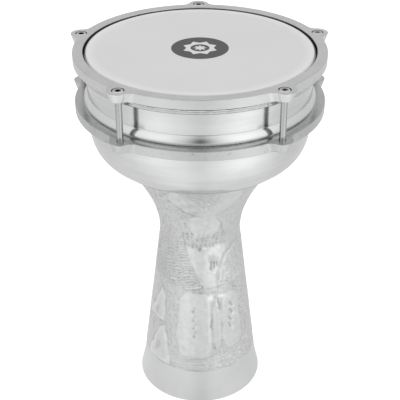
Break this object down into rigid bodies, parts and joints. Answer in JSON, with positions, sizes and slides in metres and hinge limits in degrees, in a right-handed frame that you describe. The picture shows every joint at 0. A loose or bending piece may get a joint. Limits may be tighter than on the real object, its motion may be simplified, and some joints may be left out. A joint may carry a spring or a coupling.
{
  "type": "goblet drum",
  "caption": "Goblet drum: spun aluminium bowl with a flat synthetic head, a bolted tuning hoop and lug ring, and an engraved neck on a flared open foot.",
  "frame": {"origin": "centre of the playing face, on the drum's axis, on the head's top surface", "axes": "+Z along the drum's axis, out of the head; +Y towards the tension bolt that stands alone at the back; the foot is at z = -0.3216"},
  "size_m": [0.2116, 0.2121, 0.3226],
  "materials": {
    "spun_aluminium": "spun and brushed, bright",
    "engraved_aluminium": "hand engraved and punched, satin",
    "cast_aluminium": "cast, faced smooth, satin",
    "bolt_steel": "plated steel, polished",
    "head_film": "smooth white synthetic film, slightly satin"
  },
  "bodies": {
    "shell": {"bowl_shell": "spun_aluminium", "neck_tube": "engraved_aluminium", "lug_ring": "cast_aluminium", "drumhead": "head_film", "lug_insert_1": "bolt_steel", "lug_insert_2": "bolt_steel", "lug_insert_3": "bolt_steel", "lug_insert_4": "bolt_steel", "lug_insert_5": "bolt_steel"},
    "hoop": {"tuning_hoop": "cast_aluminium", "flesh_hoop": "cast_aluminium", "bolt_washer_1": "bolt_steel", "bolt_washer_2": "bolt_steel", "bolt_washer_3": "bolt_steel", "bolt_washer_4": "bolt_steel", "bolt_washer_5": "bolt_steel"},
    "bolt_1": {"tension_bolt_1": "bolt_steel"},
    "bolt_2": {"tension_bolt_2": "bolt_steel"},
    "bolt_3": {"tension_bolt_3": "bolt_steel"},
    "bolt_4": {"tension_bolt_4": "bolt_steel"},
    "bolt_5": {"tension_bolt_5": "bolt_steel"}
  },
  "joints": [
    {"name": "hoop_slide", "type": "slide", "parent": "shell", "child": "hoop", "axis": [0, 0, 1], "range_m": [-0.0024, 0.0016]},
    {"name": "bolt_1_spin", "type": "hinge", "parent": "hoop", "child": "bolt_1", "pos_m": [0, 0.102, 0], "axis": [0, 0, 1], "range_deg": [-1081, 721]},
    {"name": "bolt_2_spin", "type": "hinge", "parent": "hoop", "child": "bolt_2", "pos_m": [-0.09701, 0.03152, 0], "axis": [0, 0, 1], "range_deg": [-1081, 721]},
    {"name": "bolt_3_spin", "type": "hinge", "parent": "hoop", "child": "bolt_3", "pos_m": [-0.05995, -0.08252, 0], "axis": [0, 0, 1], "range_deg": [-1081, 721]},
    {"name": "bolt_4_spin", "type": "hinge", "parent": "hoop", "child": "bolt_4", "pos_m": [0.05995, -0.08252, 0], "axis": [0, 0, 1], "range_deg": [-1081, 721]},
    {"name": "bolt_5_spin", "type": "hinge", "parent": "hoop", "child": "bolt_5", "pos_m": [0.09701, 0.03152, 0], "axis": [0, 0, 1], "range_deg": [-1081, 721]}
  ],
  "couplings": [
    {"joint": "bolt_1_spin", "follows": "hoop_slide", "rad_per_m": 7854},
    {"joint": "bolt_2_spin", "follows": "hoop_slide", "rad_per_m": 7854},
    {"joint": "bolt_3_spin", "follows": "hoop_slide", "rad_per_m": 7854},
    {"joint": "bolt_4_spin", "follows": "hoop_slide", "rad_per_m": 7854},
    {"joint": "bolt_5_spin", "follows": "hoop_slide", "rad_per_m": 7854}
  ]
}
